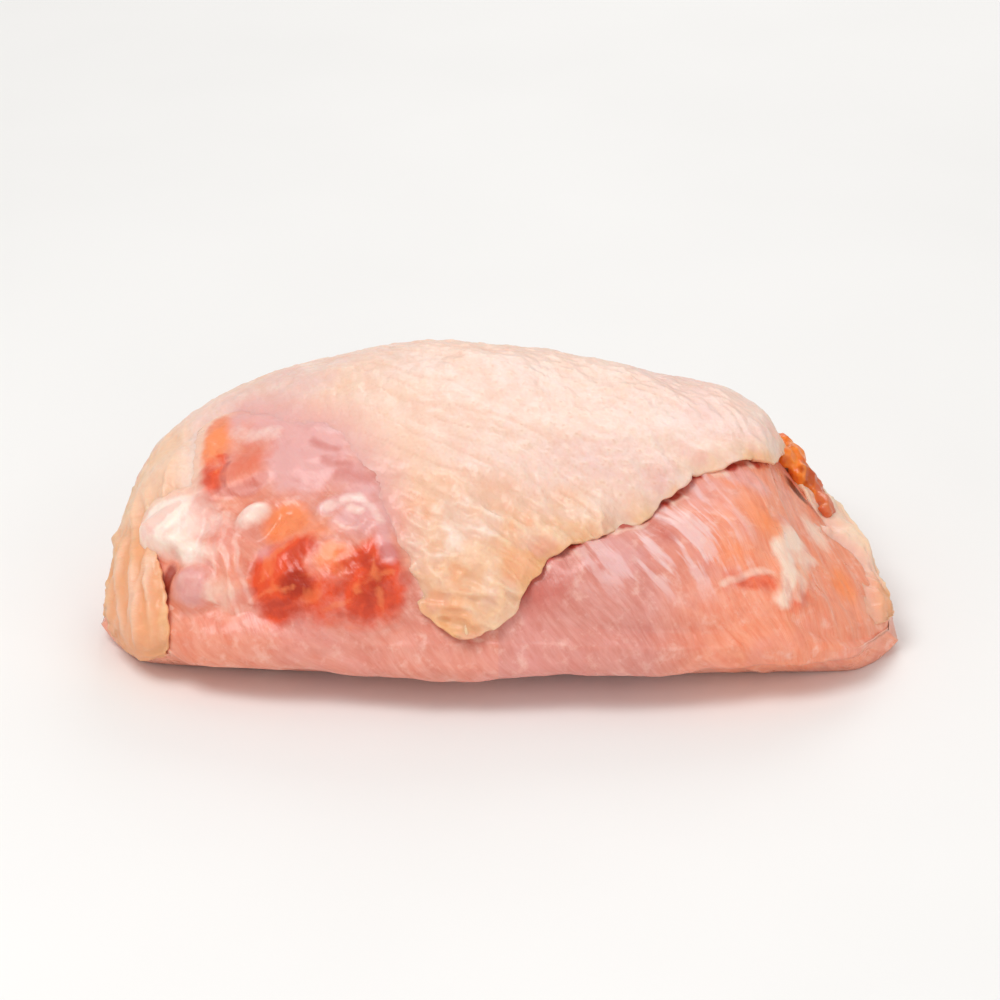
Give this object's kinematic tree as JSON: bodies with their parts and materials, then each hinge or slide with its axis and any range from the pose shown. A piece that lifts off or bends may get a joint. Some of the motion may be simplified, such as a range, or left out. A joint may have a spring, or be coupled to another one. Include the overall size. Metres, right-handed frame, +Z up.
{
  "type": "bone-in chicken breast",
  "caption": "Raw bone-in chicken breast half: a dome of pale pimpled skin, bare pink meat at the wing joint and along the flank, rib ridges below.",
  "frame": {"origin": "on the surface it rests on, under the middle of its outline seen from above", "axes": "+Z up; +X from the shoulder end, where the wing was cut off, to the tapered tail end; -Y the bare flank that faces the viewer, +Y the breastbone side"},
  "size_m": [0.1798, 0.1034, 0.054],
  "materials": {
    "raw_chicken": "moist pale skin over raw pink meat, with white fat and cartilage at the cut edges"
  },
  "bodies": {
    "root": {"chicken_breast": "raw_chicken"}
  },
  "joints": []
}
